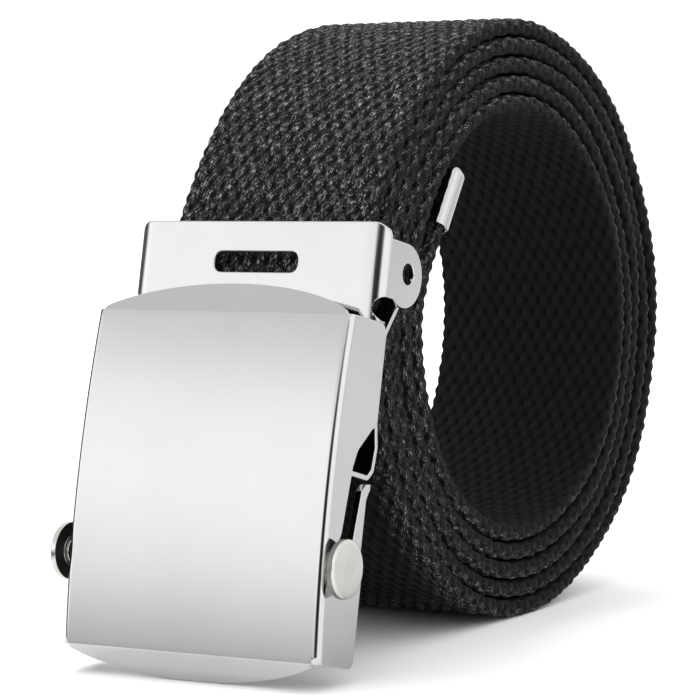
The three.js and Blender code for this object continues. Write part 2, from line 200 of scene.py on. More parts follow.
def combine(piece, bm, operation="DIFFERENCE"):
    """Cuts a solid out of a piece, or keeps only what they share."""
    cutter = object_from(bm, "cutter")
    modifier = piece.modifiers.new("Combine", "BOOLEAN")
    modifier.operation = operation
    modifier.solver = "EXACT"
    modifier.object = cutter
    settle(piece)
    mesh = cutter.data
    bpy.data.objects.remove(cutter)
    bpy.data.meshes.remove(mesh)


def simplify(piece, angle):
    """Joins faces that lie in one plane, so that bevels run cleanly along the real edges."""
    bm = bmesh.new()
    bm.from_mesh(piece.data)
    bmesh.ops.remove_doubles(bm, verts=bm.verts, dist=1e-6)
    bmesh.ops.dissolve_limit(bm, angle_limit=angle, verts=bm.verts, edges=bm.edges)
    bm.to_mesh(piece.data)
    bm.free()


def finish_metal(piece, softness, limit=math.radians(24), segments=3):
    """Rounds the edges of a metal piece, shades it smooth and keeps its flat faces flat."""
    piece.data.shade_smooth()
    bevel = piece.modifiers.new("Soft Edges", "BEVEL")
    bevel.width = softness
    bevel.segments = segments
    bevel.profile = 0.5
    bevel.limit_method = "ANGLE"
    bevel.angle_limit = limit
    bevel.use_clamp_overlap = False
    normals = piece.modifiers.new("Flat Faces", "WEIGHTED_NORMAL")
    normals.weight = 100
    settle(piece)


def into_row(piece, frame_matrix=BUCKLE_FRAME):
    """Moves a finished mesh from the buckle's frame into the row frame."""
    piece.data.transform(frame_matrix)
    piece.data.update()


def arc(centre, radius, start, end, steps):
    """Points of an arc about a centre, from one angle to another in degrees."""
    angles = np.radians(np.linspace(start, end, steps + 1))
    return [(centre[0] + radius * math.cos(a), centre[1] + radius * math.sin(a)) for a in angles]


def curved(start, handle, end, steps):
    """Points of a quadratic curve, without its first."""
    points = []
    for t in np.linspace(0, 1, steps + 1)[1:]:
        points.append(tuple((1 - t) ** 2 * start[k] + 2 * t * (1 - t) * handle[k] + t * t * end[k] for k in (0, 1)))
    return points


def rounded(corners, steps=5):
    """An outline from rows of (a, b, radius), each corner rounded to its radius."""
    points = []
    count = len(corners)
    for i, (a, b, radius) in enumerate(corners):
        here = Vector((a, b))
        if radius == 0:
            points.append((a, b))
            continue
        before = (Vector(corners[i - 1][:2]) - here)
        after = (Vector(corners[(i + 1) % count][:2]) - here)
        half = before.angle(after) / 2
        reach = min(radius / math.tan(half), before.length * 0.49, after.length * 0.49)
        start = here + before.normalized() * reach
        end = here + after.normalized() * reach
        points.append(tuple(start))
        points += curved(tuple(start), (a, b), tuple(end), steps)
    return points


def mm(points):
    return [tuple(value * MM for value in point) for point in points]


# ---------------------------------------------------------------- materials

class Shades:
    """The node tree of a material or the world, with short ways to add and join its nodes."""

    def __init__(self, name, holder=None, shader="Principled BSDF"):
        self.material = holder or bpy.data.materials.new(name)
        self.material.use_nodes = True
        self.tree = self.material.node_tree
        self.shader = self.tree.nodes[shader]

    def add(self, kind, **values):
        node = self.tree.nodes.new(kind)
        for key, value in values.items():
            setattr(node, key, value)
        return node

    def join(self, source, target):
        self.tree.links.new(source, target)

    def noise(self, vector, scale, detail=2.0, rough=0.5):
        node = self.add("ShaderNodeTexNoise")
        node.inputs["Scale"].default_value = scale
        node.inputs["Detail"].default_value = detail
        node.inputs["Roughness"].default_value = rough
        self.join(vector, node.inputs["Vector"])
        return node.outputs["Fac"]

    def spread(self, value, low, high, to_low=0.0, to_high=1.0):
        node = self.add("ShaderNodeMapRange")
        for name, number in zip(("From Min", "From Max", "To Min", "To Max"), (low, high, to_low, to_high)):
            node.inputs[name].default_value = number
        self.join(value, node.inputs["Value"])
        return node.outputs["Result"]

    def reckon(self, operation, *values):
        """A maths node over sockets and plain numbers."""
        node = self.add("ShaderNodeMath", operation=operation)
        for socket, value in zip(node.inputs, values):
            if isinstance(value, bpy.types.NodeSocket):
                self.join(value, socket)
            else:
                socket.default_value = value
        return node.outputs[0]

    def times(self, a, b):
        return self.reckon("MULTIPLY", a, b)

    def plus(self, a, b):
        return self.reckon("ADD", a, b)

    def nearness(self, vector, direction, inner, outer):
        """1 within the inner angle of a direction, falling to 0 at the outer angle, in degrees."""
        dot = self.add("ShaderNodeVectorMath", operation="DOT_PRODUCT")
        self.join(vector, dot.inputs[0])
        dot.inputs[1].default_value = Vector(direction).normalized()
        spread = self.add("ShaderNodeMapRange", interpolation_type="SMOOTHSTEP")
        spread.inputs["From Min"].default_value = math.cos(math.radians(outer))
        spread.inputs["From Max"].default_value = math.cos(math.radians(inner))
        self.join(dot.outputs["Value"], spread.inputs["Value"])
        return spread.outputs["Result"]

    def blend(self, factor, a, b):
        node = self.add("ShaderNodeMix", data_type="RGBA")
        self.join(factor, node.inputs["Factor"])
        for socket, colour in ((node.inputs[6], a), (node.inputs[7], b)):
            if isinstance(colour, bpy.types.NodeSocket):
                self.join(colour, socket)
            else:
                socket.default_value = (*colour, 1)
        return node.outputs[2]

    def bump(self, height, strength, distance):
        node = self.add("ShaderNodeBump")
        node.inputs["Strength"].default_value = strength
        node.inputs["Distance"].default_value = distance
        self.join(height, node.inputs["Height"])
        self.join(node.outputs["Normal"], self.shader.inputs["Normal"])


def canvas_material(finish):
    """Coarse black canvas: fibres twisted round each yarn, loose light flecks on the outer side, which there also stand
    in for highlights, and painted shade in the hollows.
    """
    shades = Shades("black_canvas")
    uv = shades.add("ShaderNodeUVMap", uv_map="weave")
    stretched = []
    for turn, size in ((-72, (0.0125, 0.09)), (-62, (0.012, 0.05)), (36, (0.014, 0.08))):
        mapping = shades.add("ShaderNodeMapping", vector_type="TEXTURE")
        mapping.inputs["Rotation"].default_value = (0, 0, math.radians(turn - 90))
        mapping.inputs["Scale"].default_value = (*size, 1)
        shades.join(uv.outputs["UV"], mapping.inputs["Vector"])
        stretched.append(mapping.outputs["Vector"])
    height = shades.add("ShaderNodeAttribute", attribute_name="yarn_height").outputs["Fac"]
    lint_and_light = shades.add("ShaderNodeAttribute", attribute_name="lint_and_light").outputs["Fac"]
    fibres = shades.noise(stretched[0], 1.0, 2.0, 0.6)
    fine = shades.noise(stretched[1], 1.0, 1.0, 0.5)
    crossing = shades.noise(stretched[2], 1.0, 1.0, 0.5)
    patches = shades.noise(uv.outputs["UV"], 8.0, 2.0, 0.5)
    # Painted shade in the hollows: the yarn colour falls to the hollow shade colour as the yarn height drops
    body = shades.blend(shades.spread(height, 0.45, 0.95), finish.hollow_shade, finish.yarn)
    flecks = shades.times(shades.spread(fibres, 0.555, 0.63), shades.spread(height, 0.6, 0.92))
    flecks = shades.times(flecks, shades.spread(patches, 0.32, 0.66, 0.25, 1))
    strays = shades.times(shades.spread(crossing, 0.66, 0.75), 0.5)
    # Flecks and strays follow the mark of lint and light: loose lint and painted highlights on the outer side, none
    # where shade is painted
    colour = shades.blend(shades.times(flecks, lint_and_light), body, finish.fleck)
    colour = shades.blend(shades.times(strays, lint_and_light), colour, finish.fleck)
    shades.join(colour, shades.shader.inputs["Base Color"])
    shades.join(shades.spread(fine, 0.3, 0.7, 0.75, 0.95), shades.shader.inputs["Roughness"])
    shades.shader.inputs["Specular IOR Level"].default_value = 0.12
    shades.shader.inputs["Sheen Weight"].default_value = 0.012
    shades.shader.inputs["Sheen Roughness"].default_value = 0.5
    shades.bump(shades.blend(shades.spread(fine, 0, 1, 0, 0.5), (0, 0, 0), (1, 1, 1)), 0.8, 0.00012)
    return shades.material


def nickel_material(name, colour, rough, marks, grain=90.0, wear=0.03):
    """Nickel plate: faint polishing haze and hairlines over a bright metal, and painted shade, dark and rough, on faces
    marked inside.
    """
    shades = Shades(name)
    place = shades.add("ShaderNodeTexCoord")
    haze = shades.noise(place.outputs["Object"], grain, 3.0, 0.55)
    streaks = shades.add("ShaderNodeMapping")
    streaks.inputs["Scale"].default_value = (60, 2400, 2400)
    shades.join(place.outputs["Object"], streaks.inputs["Vector"])
    hairlines = shades.noise(streaks.outputs["Vector"], 1.0, 2.0, 0.5)
    # Painted shade: faces marked inside get a near-black colour and a rougher finish
    inside = shades.add("ShaderNodeAttribute", attribute_name="inside").outputs["Fac"]
    worn = tuple((1 - wear) * channel for channel in colour)
    bright = shades.blend(shades.spread(haze, 0.35, 0.65), worn, colour)
    shades.join(shades.blend(inside, bright, (0.035, 0.033, 0.03)), shades.shader.inputs["Base Color"])
    polish = shades.spread(haze, 0.3, 0.7, rough * 0.85, rough * 1.2)
    shades.join(shades.plus(polish, shades.times(inside, 0.3)), shades.shader.inputs["Roughness"])
    shades.shader.inputs["Metallic"].default_value = 1.0
    shades.bump(hairlines, marks, 0.00001)
    return shades.material


def paint_inside_shade(piece):
    """Marks for painted shade the faces of a sheet piece that look into the space it wraps, while it is still in the
    buckle's frame.
    """
    mesh = piece.data
    marks = np.zeros(len(mesh.polygons), dtype=np.float32)
    for k, face in enumerate(mesh.polygons):
        towards = -face.normal.x * math.copysign(1, face.center.x)
        marks[k] = towards > 0.7 and abs(face.center.x) > 15 * MM or face.normal.y > 0.7
    mesh.attributes.new("inside", "FLOAT", "FACE").data.foreach_set("value", marks)


def give(piece, material, slot, body, *nodes):
    """Hands a finished piece its material and the body it rides on, and hides the nodes it stands for. Its slot
    argument is not used.
    """
    piece.data.materials.clear()
    piece.data.materials.append(material)
    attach(piece, body)
    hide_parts(*nodes)


def material_once(name, make):
    return bpy.data.materials.get(name) or make()


def polished():
    finish = bpy.context.scene.belt_finish
    return material_once(
        "polished_nickel", lambda: nickel_material("polished_nickel", tuple(finish.nickel), finish.polish, 0.05))


def satin():
    finish = bpy.context.scene.belt_finish
    return material_once("satin_nickel", lambda: nickel_material("satin_nickel", tuple(finish.satin), 0.2, 0.25, 260.0, 0.16))


# ---------------------------------------------------------------- the web

WARPS = 28
EDGE_WARPS = 4
PITCH_OF_TURNS = 3.05 * MM
SPIRAL = {"radius": 32.95 * MM, "zero": math.radians(148), "start": math.pi, "end": math.radians(1942.5)}
TIP = {"angle": math.radians(147), "radius": 30.8 * MM, "slant": math.radians(35), "length": 10.8 * MM}
TIP_WAY = np.array([-math.sin(TIP["slant"]), -math.cos(TIP["slant"])])
TIP_MOUTH = TIP["radius"] * np.array([math.cos(TIP["angle"]), math.sin(TIP["angle"])])
TIP_END = TIP_MOUTH - TIP_WAY * TIP["length"]


def bend_between(start, start_way, end, end_way, steps):
    """A smooth curve that leaves one point and reaches another along given directions."""
    reach = np.linalg.norm(end - start) / 3
    t = np.linspace(0, 1, steps)[:, None]
    handles = start + start_way * reach, end - end_way * reach
    return (1 - t) ** 3 * start + 3 * (1 - t) ** 2 * t * handles[0] + 3 * (1 - t) * t * t * handles[1] + t ** 3 * end


def from_buckle(back, up):
    """A point of the leaning buckle in (y, z) about the roll's middle."""
    point = BUCKLE_FRAME @ Vector((0, back, up))
    return np.array([point.y, point.z]) - ROLL_MIDDLE


def spiral_point(angle):
    radius = SPIRAL["radius"] + PITCH_OF_TURNS * (angle - SPIRAL["zero"]) / (2 * math.pi)
    return np.stack([radius * np.cos(angle), radius * np.sin(angle)], -1)


def web_route():
    """Middle line of the web from its tip to the buckle about the roll's middle, with the lengths along it, and
    where along it each angle of the spiral comes."""
    swollen = TIP_MOUTH + TIP_WAY * 4 * MM
    angles = np.linspace(SPIRAL["start"], SPIRAL["end"], 6000)
    spiral = spiral_point(angles)
    leaving = np.array([-math.sin(SPIRAL["end"]), math.cos(SPIRAL["end"])])
    down = np.array([-math.sin(LEAN), -math.cos(LEAN)])
    join = from_buckle(WEB_MIDDLE, 24 * MM)
    parts = [
        np.linspace(TIP_END + TIP_WAY * 0.75 * MM, swollen, 60),
        bend_between(swollen, TIP_WAY, spiral[0], np.array([0.0, -1.0]), 80)[1:],
        spiral[1:],
        bend_between(spiral[-1], leaving, join, down, 200)[1:],
        np.linspace(join, from_buckle(WEB_MIDDLE, 4.4 * MM), 100)[1:],
    ]
    points = np.concatenate(parts)
    lengths = np.concatenate([[0], np.cumsum(np.linalg.norm(np.diff(points, axis=0), axis=1))])
    first = len(parts[0]) + len(parts[1]) - 1
    return points, lengths, (angles, lengths[first:first + len(angles)])


def yarn_height(across, along, seed=11):
    """Height of a plain weave, 0 to 1: across counts warp yarns and along counts weft yarns."""
    table = np.random.default_rng(seed).normal(0, 1, (64, 1024))
    column = np.floor(across).astype(int)
    best = np.zeros(np.broadcast(across, along).shape)
    along = np.broadcast_to(along, best.shape)
    for step in (-1, 0, 1):
        yarn = (column + step)
        aside = np.broadcast_to(across - (yarn + 0.5), best.shape)
        rows = np.broadcast_to(yarn % 64, best.shape)
        whole = np.floor(along).astype(int)
        share = along - whole
        wobble = table[rows, whole % 1024] * (1 - share) + table[rows, (whole + 1) % 1024] * share
        lift = 0.5 + 0.5 * np.cos(math.pi * (along + yarn + 0.12 * aside + 0.09 * wobble))
        fullness = np.sqrt(np.clip(1 - (aside / 0.74) ** 2, 0, 1))
        height = (0.6 + 0.06 * wobble) * lift ** 0.7 + 0.4 * fullness
        best = np.maximum(best, np.where(fullness > 0, height, 0))
    return np.clip(best, 0, 1.1)


def web_section(settings, fine_outer, fine_inner, samples):
    """One ring round the web: where each point stands, which way it faces and which warp yarn it is on."""
    sparse = np.array([0, 0.5, 1, 2, 5, WARPS / 2, WARPS - 5, WARPS - 2, WARPS - 1, WARPS - 0.5])
    even = lambda count: np.arange(0, count, 1 / samples)
    face_half = settings.width / 2 - settings.edge
    rows = []
    for side, fine in ((1, fine_outer), (-1, fine_inner)):
        base = 0 if side > 0 else WARPS + EDGE_WARPS
        for warp in (even(WARPS) if fine else sparse):
            rows.append((side * face_half * (2 * warp / WARPS - 1), side, 0.0, side, 0.0, base + warp))
        for warp in even(EDGE_WARPS):
            angle = math.pi * (0.5 - warp / EDGE_WARPS)
            power = 2 / 2.5
            bulge = settings.edge * abs(math.cos(angle)) ** power
            level = math.copysign(abs(math.sin(angle)) ** power, angle)
            rows.append((side * face_half, side * level, side * bulge, side * math.sin(angle), side * math.cos(angle),
                         base + WARPS + warp))
    return np.array(rows)


def lay_web(name, start, end, settings, fine_outer=False, fine_inner=False, samples=4, rows_per_weft=6):
    """One length of the web, from start to end along its route, as a closed band with its weave in relief."""
    points, lengths, _ = web_route()
    ring = web_section(settings, fine_outer, fine_inner, samples)
    count = len(ring)
    steps = int(round((end - start) / settings.weft_pitch * rows_per_weft))
    bm = bmesh.new()
    layer = bm.loops.layers.uv.new("weave")
    bmesh.ops.create_grid(bm, x_segments=count, y_segments=steps, size=0.5, calc_uvs=True)
    piece = object_from(bm, name)
    mesh = piece.data

    at = np.linspace(start, end, steps + 1)
    middle = np.stack([np.interp(at, lengths, points[:, k]) for k in (0, 1)], -1)
    ahead = np.stack([np.interp(at + 0.1 * MM, lengths, points[:, k]) for k in (0, 1)], -1)
    behind = np.stack([np.interp(at - 0.1 * MM, lengths, points[:, k]) for k in (0, 1)], -1)
    way = ahead - behind
    way /= np.linalg.norm(way, axis=1)[:, None]
    outward = np.stack([way[:, 1], -way[:, 0]], -1)

    mouth = TIP["length"] - 0.75 * MM
    swell = np.clip((at - mouth) / (4 * MM), 0, 1)
    swell = swell * swell * (3 - 2 * swell)
    half = (2.1 * MM + (settings.thickness - 2.1 * MM) * swell)[:, None] / 2

    closed = np.vstack([ring, ring[:1]])
    face_x, level, bulge, face_out, face_side, warp = closed.T
    warp = warp.copy()
    warp[-1] = 2 * (WARPS + EDGE_WARPS)
    height = yarn_height(warp[None, :], at[:, None] / settings.weft_pitch)
    height[:, -1] = height[:, 0]
    sink = settings.relief * (height - 1) * (0.35 + 0.65 * swell[:, None]) * (1 - 0.5 * np.abs(face_side))
    astray = settings.wander * (np.sin(at * 61) + 0.6 * np.sin(at * 173 + 1))[:, None]
    loops = 0.13 * MM * np.cos(2 * math.pi * at / settings.weft_pitch)[:, None] * np.clip(swell, 0, 1)[:, None]
    x = face_x[None, :] + bulge[None, :] + (sink + loops) * face_side[None, :] + astray
    out = level[None, :] * half + sink * face_out[None, :]
    y = ROLL_MIDDLE[0] + middle[:, :1] + out * outward[:, :1]
    z = ROLL_MIDDLE[1] + middle[:, 1:] + out * outward[:, 1:]

    place = np.zeros(len(mesh.vertices) * 3)
    mesh.vertices.foreach_get("co", place)
    place = place.reshape(-1, 3)
    i = np.rint((place[:, 0] + 0.5) * count).astype(int)
    j = np.rint((place[:, 1] + 0.5) * steps).astype(int)
    moved = np.stack([x[j, i], y[j, i], z[j, i]], -1)
    mesh.vertices.foreach_set("co", moved.ravel())
    # Mark of lint and light: more loose lint on the outer side, where it also stands for the light falling there as
    # painted highlight; painted shade takes the flecks away where the buckle shades the web
    buckle_shade = np.clip(3.5 - abs(moved[:, 0]) / (5 * MM), 0, 1) * np.clip(11 - moved[:, 2] / (4 * MM), 0, 1)
    buckle_shade *= np.clip(-0.3 - moved[:, 1] / (8 * MM), 0, 1)
    lint_and_light = np.clip(0.15 + face_out, 0, 1)[i] * (1 - buckle_shade)
    for key, values in (("yarn_height", height[j, i]), ("lint_and_light", lint_and_light)):
        mesh.attributes.new(key, "FLOAT", "POINT").data.foreach_set("value", values.astype(np.float32))

    uv = np.zeros(len(mesh.loops) * 2)
    mesh.uv_layers["weave"].data.foreach_get("uv", uv)
    uv = uv.reshape(-1, 2)
    warp_width = 10 * (settings.width - 2 * settings.edge) / WARPS * 10
    column = np.rint(uv[:, 0] * count).astype(int)
    uv[:, 0] = warp[column] * warp_width
    uv[:, 1] = (start + uv[:, 1] * (end - start)) * 100
    mesh.uv_layers["weave"].data.foreach_set("uv", uv.ravel())

    bm = bmesh.new()
    bm.from_mesh(mesh)
    seam = [v for v in bm.verts if v.is_boundary]
    bmesh.ops.remove_doubles(bm, verts=seam, dist=1e-7)
    rim = [e for e in bm.edges if e.is_boundary]
    for e in rim:
        e.smooth = False
    bmesh.ops.holes_fill(bm, edges=rim, sides=0)
    bmesh.ops.recalc_face_normals(bm, faces=bm.faces)
    bm.to_mesh(mesh)
    bm.free()
    for polygon in mesh.polygons:
        polygon.use_smooth = True
    return piece


class BELT_OT_web(bpy.types.Operator):
    """Rolls up the canvas web, from its metal tip to the buckle"""
    bl_idname = "belt.web"
    bl_label = "Web"

    def execute(self, context):
        settings = context.scene.belt_web
        finish = context.scene.belt_finish
        canvas = canvas_material(finish)
        _, lengths, (angles, spiral_lengths) = web_route()
        along = lambda degrees: float(np.interp(math.radians(degrees), angles, spiral_lengths))
        runs = [
            ("web_inner_turn", 0.0, along(560), {"fine_inner": True, "samples": 3, "rows_per_weft": 5}),
            ("web_middle_turns", along(560), along(1560), {"samples": 3, "rows_per_weft": 5}),
            ("web_outer_turn", along(1560), along(1765), {"fine_outer": True}),
            ("web_outer_end", along(1765), float(lengths[-1]), {"fine_outer": True}),
        ]
        for name, start, end, detail in runs:
            piece = lay_web(name, start, end, settings, **detail)
            give(piece, canvas, "web", "belt", "web")
        return {"FINISHED"}


# ---------------------------------------------------------------- the metal tip

class BELT_OT_tip(bpy.types.Operator):
    """Presses the metal tip round the inner end of the web"""
    bl_idname = "belt.tip"
    bl_label = "Tip"

    def execute(self, context):
        web = context.scene.belt_web
        thickness = 3.6 * MM
        sheet = 0.45 * MM
        width = web.width + 1.5 * MM
        bm = bmesh.new()
        bmesh.ops.create_cube(bm, size=1)
        bmesh.ops.scale(bm, verts=bm.verts, vec=(width, thickness, TIP["length"]))
        bmesh.ops.translate(bm, verts=bm.verts, vec=(0, 0, -TIP["length"] / 2))
        mouth = min(bm.faces, key=lambda face: face.calc_center_median().z)
        edges = [e for e in bm.edges if mouth not in e.link_faces]
        bmesh.ops.bevel(
            bm, geom=edges, offset=1.3 * MM, offset_type="OFFSET", segments=6, profile=0.5, affect="EDGES", material=-1)
        mouth = min(bm.faces, key=lambda face: face.calc_center_median().z)
        bmesh.ops.inset_region(bm, faces=[mouth], thickness=sheet, use_even_offset=True)
        floor = bmesh.ops.extrude_face_region(bm, geom=[mouth])["geom"]
        bmesh.ops.delete(bm, geom=[mouth], context="FACES_ONLY") if mouth.is_valid else None
        lifted = [v for v in floor if isinstance(v, bmesh.types.BMVert)]
        bmesh.ops.translate(bm, verts=lifted, vec=(0, 0, TIP["length"] - 1.6 * MM))
        bmesh.ops.recalc_face_normals(bm, faces=bm.faces)
        piece = object_from(bm, "web_end_tip")
        finish_metal(piece, 0.1 * MM, segments=2)
        place = Matrix.Translation((0, ROLL_MIDDLE[0] + TIP_END[0], ROLL_MIDDLE[1] + TIP_END[1]))
        into_row(piece, place @ Matrix.Rotation(-TIP["slant"], 4, "X"))
        give(piece, polished(), "tip", "belt", "web_tip")
        return {"FINISHED"}


# ---------------------------------------------------------------- the buckle's shell

SHELL_DEPTH = 9.6 * MM
SHELL_BEND = 1.2 * MM
LIP_ANGLE = math.radians(32)
TOP_LIP = 5.5 * MM
BOTTOM_LIP = 4.6 * MM
LIP_INSET = 0.6 * MM
LIP_LEAST = 0.32 * MM
LIP_FULLNESS = 0.75

# Slot in each side wall, down its front edge and up its rear edge, as rows of (back, up, corner radius) in millimetres
SLOT_FRONT = [
    (12.0, 10.7, 0), (8.7, 9.7, 1.2), (5.2, 6.1, 1.5), (4.3, 3.6, 1.5), (2.927, -6.569, 3.0), (0.366, -10.366, 0),
]
SLOT_REAR = [
    (3.434, -12.435, 0), (5.995, -8.638, 1.5), (6.411, -5.6, 1.0), (7.361, 0.4, 0.5), (8.4, 1.5, 0.6), (12.0, 2.1, 0),
]
WAIST_OUTLINE = [(12.0, 0.9, 0), (9.6, 0.9, 1.0), (8.8, -0.7, 1.5), (8.7, -8.8, 2.5), (9.6, -11.4, 1.0), (12.0, -11.4, 0)]


def lip_length(x, rise, half):
    return rise * max(1 - (x / half) ** 2, 0) ** LIP_FULLNESS


def shell_columns(half):
    """Columns of the unfolded sheet as (x, depth behind the face), from one wall's rear edge to the other's."""
    bend = [(half - SHELL_BEND + SHELL_BEND * math.cos(a), SHELL_BEND - SHELL_BEND * math.sin(a))
            for a in np.radians(np.linspace(0, 90, 9))]
    flat = [((half - SHELL_BEND) * math.cos(a), 0.0) for a in np.radians(np.linspace(0, 180, 41))][1:-1]
    right = [(half, SHELL_DEPTH)] + bend
    left = [(-x, depth) for x, depth in reversed(right)]
    return right + flat + left


def folded_sheet(buckle):
    """The shell's sheet, folded from a flat grid: bowed face, side walls and both lips."""
    half = buckle.shell_width / 2
    reach = half - LIP_INSET
    top = buckle.shell_height / 2
    columns = shell_columns(half)
    lip_shares = (1, 0.7, 0.35)
    rows = [(-1, s) for s in lip_shares]
    rows += [(0, u) for u in np.linspace(-top, top, 45)]
    rows += [(1, s) for s in reversed(lip_shares)]
    bm = bmesh.new()
    bmesh.ops.create_grid(bm, x_segments=len(columns) - 1, y_segments=len(rows) - 1, size=0.5)
    spare = []
    for vert in bm.verts:
        x, depth = columns[round((vert.co.x + 0.5) * (len(columns) - 1))]
        side, value = rows[round((vert.co.y + 0.5) * (len(rows) - 1))]
        if side == 0:
            front = -buckle.face_bow * (1 - (value / top) ** 2)
            vert.co = (x, front + depth, value) if depth < SHELL_DEPTH else (x, depth, value)
            continue
        if abs(x) > half - SHELL_BEND + 0.01 * MM:
            spare.append(vert)
        length = value * max(lip_length(min(abs(x), reach), TOP_LIP if side > 0 else BOTTOM_LIP, reach), LIP_LEAST)
        vert.co = (x, depth + length * math.sin(LIP_ANGLE), side * (top + length * math.cos(LIP_ANGLE)))
    bmesh.ops.delete(bm, geom=spare, context="VERTS")
    bmesh.ops.recalc_face_normals(bm, faces=bm.faces)
    bm.faces.ensure_lookup_table()
    middle = min(bm.faces, key=lambda face: face.calc_center_median().length)
    if middle.normal.y > 0:
        bmesh.ops.reverse_faces(bm, faces=bm.faces)
    return bm


class BELT_OT_shell(bpy.types.Operator):
    """Folds the shell of the buckle from one sheet and cuts its slots"""
    bl_idname = "belt.shell"
    bl_label = "Shell"

    def execute(self, context):
        buckle = context.scene.belt_buckle
        piece = object_from(folded_sheet(buckle), "buckle_shell")
        sheet = piece.modifiers.new("Sheet", "SOLIDIFY")
        sheet.thickness = buckle.shell_sheet
        sheet.offset = -1
        sheet.use_even_offset = True
        settle(piece)
        simplify(piece, math.radians(0.12))
        wide = buckle.shell_width / 2 + 1 * MM
        pocket = arc((POCKET.y / MM, POCKET.z / MM), 1.85, 180 - 34, 360 - 34, 14)
        slot = rounded(SLOT_FRONT)[:-1] + pocket[:-1] + rounded(SLOT_REAR)
        combine(piece, prism(mm(slot), "x", -wide, wide))
        combine(piece, prism(mm(rounded(WAIST_OUTLINE)), "x", -wide, wide))
        top = buckle.shell_height / 2 / MM
        for side in (1, -1):
            corner = [(12.0, side * (top + 2))] + [
                (8.3 + 1.3 * math.cos(a), side * (top - 1.3 + 1.3 * math.sin(a))) for a in np.radians(np.linspace(90, 0, 9))
            ] + [(12.0, side * (top - 1.3))]
            corner.insert(1, (8.3, side * (top + 2)))
            combine(piece, prism(mm(corner), "x", -wide, wide))
        finish_metal(piece, buckle.edge_softness)
        paint_inside_shade(piece)
        into_row(piece)
        give(piece, polished(), "buckle_steel", "belt", "shell")
        return {"FINISHED"}


# ---------------------------------------------------------------- clamp and back plate

EAR = {"back": 14.25, "up": 33.4, "radius": 4.85, "top": 38.25, "bottom": 29.4}
EAR_HOLE = {"back": 15.0, "up": 33.75, "radius": 1.6}
EARS_FROM = 25.5
FLANGE_HALF = 21.1 * MM
CLAMP_TOP = 40.4
CLAMP_BOTTOM = 14.0
# Each bend of the clamp as its reach across the plate and its depth
EAR_BEND = (3.5 * MM, 2.3 * MM)
FLANGE_BEND = (1.1 * MM, 1.1 * MM)


def clamp_channel(half, front, sheet, rear, bend):
    """The clamp's U section in (x, back), with bends that start gently on its front plate."""
    across, deep = bend
    quarter = np.radians(np.linspace(0, 90, 17))

    def corner(inset):
        return [(half - across + (across - inset) * math.cos(a), front + deep - (deep - inset) * math.sin(a))
                for a in quarter]

    def mirrored(points):
        return [(-x, back) for x, back in reversed(points)]

    inner, outer = corner(sheet), corner(0)[::-1]
    inside = [(half - sheet, rear)] + inner + mirrored(inner) + [(-half + sheet, rear)]
    return inside + [(-half, rear)] + mirrored(outer) + outer + [(half, rear)]


class BELT_OT_clamp(bpy.types.Operator):
    """Bends the clamp on the outer end of the web, with its ears, holes and narrow slot"""
    bl_idname = "belt.clamp"
    bl_label = "Clamp"

    def execute(self, context):
        buckle = context.scene.belt_buckle
        half = buckle.clamp_width / 2
        rear = 22.5 * MM
        front = CLAMP_FRONT / MM
        channel = clamp_channel(half, CLAMP_FRONT, buckle.clamp_sheet, rear, EAR_BEND)
        piece = object_from(prism(channel, "up", EARS_FROM * MM, CLAMP_TOP * MM), "clamp_plate")
        flange = clamp_channel(FLANGE_HALF, CLAMP_FRONT, buckle.clamp_sheet, rear, FLANGE_BEND)
        combine(piece, prism(flange, "up", CLAMP_BOTTOM * MM, (EARS_FROM + 0.3) * MM), "UNION")
        wide = half + 1 * MM
        notch = front + 0.5
        start = 180 - math.degrees(math.asin((EAR["bottom"] - EAR["up"]) / EAR["radius"]))
        side = [(front - 1, CLAMP_BOTTOM - 1), (11.45, CLAMP_BOTTOM - 1), (11.45, 25.2), (notch + 1.6, 25.6)]
        side += curved((notch + 1.6, 25.6), (notch, 26.2), (notch, 27.6), 6)
        side += curved((notch, 27.6), (notch, EAR["bottom"]), (notch + 1.8, EAR["bottom"]), 6)
        side += arc((EAR["back"], EAR["up"]), EAR["radius"], start, 450, 48)
        bend = front + EAR_BEND[1] / MM
        side += [(bend, EAR["top"]), (bend, CLAMP_TOP + 1), (front - 1, CLAMP_TOP + 1)]
        combine(piece, prism(mm(side), "x", -wide, wide), "INTERSECT")
        w = half / MM
        outline = [(-w - 1, CLAMP_BOTTOM - 1), (w + 1, CLAMP_BOTTOM - 1), (w + 1, EAR["top"]), (w, EAR["top"])]
        corner = CLAMP_TOP - EAR["top"]
        outline += arc((w - corner, EAR["top"]), corner, 0, 90, 12)[1:]
        outline += arc((-w + corner, EAR["top"]), corner, 90, 180, 12)
        outline += [(-w - 1, EAR["top"])]
        combine(piece, prism(mm(outline), "back", CLAMP_FRONT - 1 * MM, rear + 1 * MM), "INTERSECT")
        hole = arc((EAR_HOLE["back"], EAR_HOLE["up"]), EAR_HOLE["radius"], 0, 360, 40)[:-1]
        combine(piece, prism(mm(hole), "x", -wide, wide))
        slot = rounded([(-7.5, 32.6, 1.45), (7.5, 32.6, 1.45), (7.5, 35.7, 1.45), (-7.5, 35.7, 1.45)], 8)
        combine(piece, prism(mm(slot), "back", CLAMP_FRONT - 1 * MM, CLAMP_FRONT + 2 * MM))
        simplify(piece, math.radians(0.12))
        finish_metal(piece, 0.2 * MM)
        paint_inside_shade(piece)
        into_row(piece)
        give(piece, polished(), "buckle_steel", "belt", "end_clamp")
        return {"FINISHED"}


# Middle line of the back plate as (step behind its straight run, up, corner radius) in millimetres
BACK_ROUTE = [
    (4.3, 31.1, 0), (0.1, 24.2, 3.0), (0, 11, 2.0), (0.75, 7.4, 2.0), (0.3, 3.9, 1.0), (-0.9, 2.7, 0.8),
    (-5.625, 2.9, 0),
]


